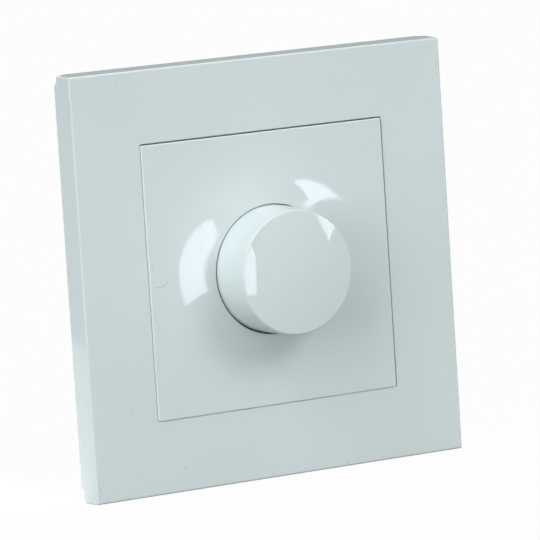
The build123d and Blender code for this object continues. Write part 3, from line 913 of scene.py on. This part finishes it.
def lamp(name, corner, across, along, brightness, tone=(1, 1, 1)):
    """An area lamp on two edges from a corner, which shines the way along x across points."""
    light = bpy.data.lights.new(name, "AREA")
    light.shape = "RECTANGLE"
    light.size, light.size_y = across.length, along.length
    light.energy = brightness * pi * across.length * along.length
    light.color = tone
    holder = bpy.data.objects.new(name, light)
    holder.location = corner + (across + along) / 2
    sides = (across.normalized(), along.normalized(), across.cross(along).normalized())
    holder.rotation_mode = "QUATERNION"
    holder.rotation_quaternion = Matrix(sides).transposed().to_quaternion()
    holder.visible_camera = False
    bpy.context.scene.collection.objects.link(holder)


def far_lamp(name, turns, rises, distance, brightness, tone=(1, 1, 1), seen_from=(0, -9, 0)):
    """A lamp that fills these turns and rises, in degrees, as seen from a place in millimetres."""
    turn, rise = sum(turns) / 2, sum(rises) / 2
    across = distance * radians(turns[1] - turns[0]) * direction(turn + 90, 0)
    along = distance * radians(rises[1] - rises[0]) * direction(turn, rise + 90)
    middle = Vector(seen_from) * MM + distance * direction(turn, rise)
    lamp(name, middle - (across + along) / 2, across, along, brightness, tone)


# Turns and rises, in degrees, that the small panes on the right fill as seen from a place in
# millimetres: a wedge that narrows downwards from its top corners to a point, a tongue above it
# and a pane beside it
WEDGE_TOP = (33.1, 40.3, 3.6)
WEDGE_POINT = (36.9, -3.2)
WEDGE_STEPS = 10
TONGUE = ((38.6, 40.6), (3.6, 5.8))
SIDE_PANE = ((43.5, 46.5), (-1.3, 3.2))
PANE_DISTANCE = 0.5
PANES_SEEN_FROM = (10, -7, 16)

# The low card on the right, in millimetres and degrees: its right foot over the floor, its sides
# and the way that its width runs
CARD_FOOT = (50.1, -195.0, 4.0)
CARD_WIDTH, CARD_HEIGHT = 23, 56
CARD_TURN = 109


def wedge():
    """The turns and rises of the wedge's strips, from the top down."""
    left, right, top = WEDGE_TOP
    turn, low = WEDGE_POINT
    step = (top - low) / WEDGE_STEPS
    for i in range(WEDGE_STEPS):
        down = (i + 0.5) / WEDGE_STEPS
        turns = (left + down * (turn - left), right + down * (turn - right))
        yield turns, (top - (i + 1) * step, top - i * step)


def make_lamps():
    """Windows on the left and right of the front, lamps behind, and panes and a card for the gloss."""
    look = settings().stage
    left = {"turns": (-90, -50), "distance": 2.4}
    far_lamp("left_window", rises=(0, 20), brightness=look.left, **left)
    far_lamp("middle_window", rises=(20, 40), brightness=look.middle, tone=look.mild, **left)
    far_lamp("high_window", rises=(40, 60), brightness=look.high, tone=look.mild, **left)
    far_lamp("front_window", turns=(10, 35), rises=(25, 45), distance=8.0, brightness=look.front)
    far_lamp("rear_lamp", turns=(140, 190), rises=(42, 70), distance=8.0, brightness=look.rear)
    far_lamp("low_lamp", turns=(100, 145), rises=(-4, 16), distance=4.0, brightness=look.low)
    for turns, rises in (*wedge(), TONGUE, SIDE_PANE):
        far_lamp("pane", turns, rises, PANE_DISTANCE, look.spot, look.cool, PANES_SEEN_FROM)
    foot = Vector(CARD_FOOT) * MM + Vector((0, 0, cad_box[0].z))
    wide = CARD_WIDTH * MM * direction(CARD_TURN, 0)
    tall = Vector((0, 0, CARD_HEIGHT * MM))
    lamp("low_card", foot - wide, wide, tall, look.card, look.cool)


# The place near the plate's middle that the camera looks at, in millimetres, and how far it sees in metres
CAMERA_AIM = (-0.1, -6.0, -0.42)
CAMERA_REACH = 100


def make_camera():
    """The camera, left of the cover's front and a little above it."""
    look = settings().stage
    back = direction(degrees(look.turn), degrees(look.rise))
    camera = bpy.data.cameras.new("camera")
    camera.lens = look.lens
    camera.clip_end = CAMERA_REACH
    holder = bpy.data.objects.new("camera", camera)
    holder.location = Vector(CAMERA_AIM) * MM + look.distance * back
    holder.rotation_mode = "QUATERNION"
    holder.rotation_quaternion = back.to_track_quat("Z", "Y") @ Quaternion((0, 0, 1), look.roll)
    bpy.context.scene.collection.objects.link(holder)
    bpy.context.scene.camera = holder


class DimmerPanel(bpy.types.Panel):
    """Lists the pieces of the dimmer and what can be set on them"""

    bl_idname = "DIMMER_PT_pieces"
    bl_label = "Rotary dimmer"
    bl_space_type = "VIEW_3D"
    bl_region_type = "UI"
    bl_category = "Dimmer"

    def draw(self, context):
        for operator in OPERATORS:
            self.layout.operator(operator.bl_idname)
        for group in ("cover", "rear", "screws", "stage"):
            look = getattr(context.scene.dimmer, group)
            box = self.layout.box()
            for name in look.__annotations__:
                box.prop(look, name)


GROUPS = (CoverSettings, RearSettings, ScrewSettings, StageSettings, DimmerSettings)
OPERATORS = (
    CoverFrame,
    CentrePlate,
    Knob,
    Support,
    Housing,
    Screws,
    Potentiometer,
    PushSwitch,
    Circuit,
    Stage,
)


def register():
    for kind in (*GROUPS, *OPERATORS, DimmerPanel):
        bpy.utils.register_class(kind)
    bpy.types.Scene.dimmer = PointerProperty(type=DimmerSettings)


def unregister():
    del bpy.types.Scene.dimmer
    for kind in reversed((*GROUPS, *OPERATORS, DimmerPanel)):
        bpy.utils.unregister_class(kind)


def main():
    register()
    for operator in OPERATORS:
        getattr(bpy.ops.dimmer, operator.bl_idname.split(".")[1])()


if __name__ == "__main__":
    main()
